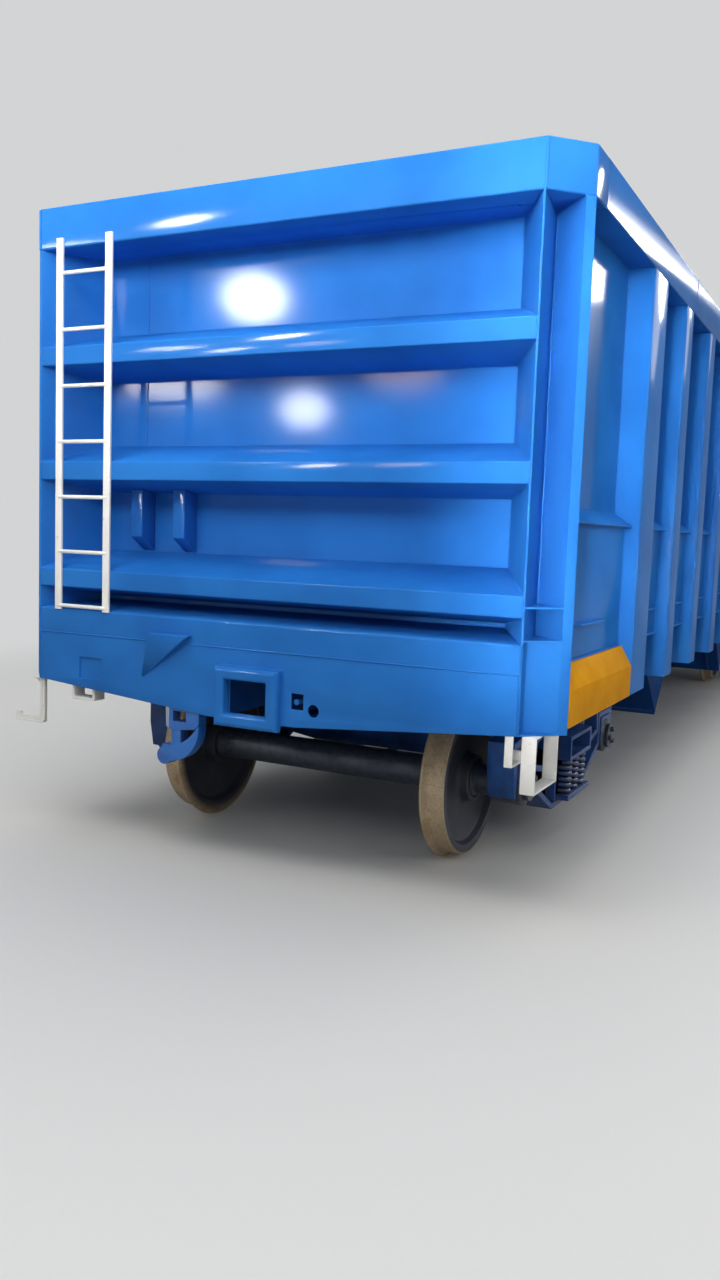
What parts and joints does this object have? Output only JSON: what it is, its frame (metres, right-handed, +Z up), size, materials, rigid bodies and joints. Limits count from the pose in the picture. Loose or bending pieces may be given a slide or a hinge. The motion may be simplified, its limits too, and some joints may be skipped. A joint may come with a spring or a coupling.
{
  "type": "open hopper wagon",
  "caption": "Open hopper wagon for bulk loads: ribbed end walls, staked sides, bottom discharge doors, and swivelling bogies with free-turning wheelsets.",
  "frame": {"origin": "on the centre line, half-way along the wagon, at the height of the wheel flanges' lowest points", "axes": "+Y along the track, with the pictured end at -Y; +X to the right seen from that end; +Z up"},
  "size_m": [3.398, 12.41, 3.46],
  "materials": {
    "blue_enamel": "glossy blue enamel over ribbed steel sheet",
    "underframe_blue": "semi-gloss deep blue enamel, dusty",
    "worn_inner_blue": "blue enamel worn by the load, with dust",
    "cast_blue": "blue paint on a rough steel casting",
    "amber_enamel": "amber-yellow enamel",
    "white_enamel": "white enamel, brushed on",
    "spring_steel": "dark blue paint on coil springs",
    "rolled_steel": "rolled wheel steel, rusty faces and tan treads",
    "dark_steel": "bare forged steel, dark and greasy"
  },
  "bodies": {
    "wagon": {"end_sheets": "blue_enamel", "end_ribs": "blue_enamel", "end_caps": "blue_enamel", "side_sheets": "blue_enamel", "top_chord_sides": "blue_enamel", "top_chord_ends": "blue_enamel", "corner_posts": "blue_enamel", "side_stakes": "blue_enamel", "lower_panels": "blue_enamel", "corner_boxes": "amber_enamel", "centre_sill": "underframe_blue", "side_sills": "underframe_blue", "headstocks": "blue_enamel", "strikers": "blue_enamel", "body_bolsters": "underframe_blue", "centre_plates": "underframe_blue", "floor_plates": "worn_inner_blue", "cross_bearers": "underframe_blue", "slope_sheets": "underframe_blue", "chute_walls": "underframe_blue", "hopper_ridges": "worn_inner_blue", "side_slopes": "worn_inner_blue", "door_pins": "dark_steel", "ladders": "white_enamel", "steps": "white_enamel", "grab_irons": "blue_enamel", "tow_hooks": "underframe_blue", "end_brackets": "blue_enamel", "brake_cylinder": "underframe_blue", "air_reservoir": "underframe_blue"},
    "bogie_front": {"side_frames_front": "cast_blue", "bogie_bolster_front": "cast_blue", "springs_front": "spring_steel", "adapters_front": "cast_blue", "bearings_front": "dark_steel", "brake_beams_front": "dark_steel"},
    "bogie_rear": {"side_frames_rear": "cast_blue", "bogie_bolster_rear": "cast_blue", "springs_rear": "spring_steel", "adapters_rear": "cast_blue", "bearings_rear": "dark_steel", "brake_beams_rear": "dark_steel"},
    "wheelset_1": {"axle_1": "dark_steel", "wheels_1": "rolled_steel"},
    "wheelset_2": {"axle_2": "dark_steel", "wheels_2": "rolled_steel"},
    "wheelset_3": {"axle_3": "dark_steel", "wheels_3": "rolled_steel"},
    "wheelset_4": {"axle_4": "dark_steel", "wheels_4": "rolled_steel"},
    "hopper_door_front_left": {"door_front_left": "underframe_blue"},
    "hopper_door_front_right": {"door_front_right": "underframe_blue"},
    "hopper_door_rear_left": {"door_rear_left": "underframe_blue"},
    "hopper_door_rear_right": {"door_rear_right": "underframe_blue"}
  },
  "joints": [
    {"name": "bogie_front_swivel", "type": "hinge", "parent": "wagon", "child": "bogie_front", "pos_m": [0, -4.4, 0.7], "axis": [0, 0, 1], "range_deg": [-4, 4]},
    {"name": "bogie_rear_swivel", "type": "hinge", "parent": "wagon", "child": "bogie_rear", "pos_m": [0, 4.4, 0.7], "axis": [0, 0, 1], "range_deg": [-4, 4]},
    {"name": "wheelset_1_spin", "type": "hinge", "parent": "bogie_front", "child": "wheelset_1", "pos_m": [0, -5.2635, 0.447], "axis": [1, 0, 0], "continuous": true},
    {"name": "wheelset_2_spin", "type": "hinge", "parent": "bogie_front", "child": "wheelset_2", "pos_m": [0, -3.5365, 0.447], "axis": [1, 0, 0], "continuous": true},
    {"name": "wheelset_3_spin", "type": "hinge", "parent": "bogie_rear", "child": "wheelset_3", "pos_m": [0, 3.5365, 0.447], "axis": [1, 0, 0], "continuous": true},
    {"name": "wheelset_4_spin", "type": "hinge", "parent": "bogie_rear", "child": "wheelset_4", "pos_m": [0, 5.2635, 0.447], "axis": [1, 0, 0], "continuous": true},
    {"name": "hopper_door_front_left_hinge", "type": "hinge", "parent": "wagon", "child": "hopper_door_front_left", "pos_m": [0, -1.3031, 0.8385], "axis": [1, 0, 0], "range_deg": [0, 70]},
    {"name": "hopper_door_front_right_hinge", "type": "hinge", "parent": "wagon", "child": "hopper_door_front_right", "pos_m": [0, -1.3031, 0.8385], "axis": [1, 0, 0], "range_deg": [0, 70]},
    {"name": "hopper_door_rear_left_hinge", "type": "hinge", "parent": "wagon", "child": "hopper_door_rear_left", "pos_m": [0, 1.3031, 0.8385], "axis": [-1, 0, 0], "range_deg": [0, 70]},
    {"name": "hopper_door_rear_right_hinge", "type": "hinge", "parent": "wagon", "child": "hopper_door_rear_right", "pos_m": [0, 1.3031, 0.8385], "axis": [-1, 0, 0], "range_deg": [0, 70]}
  ]
}
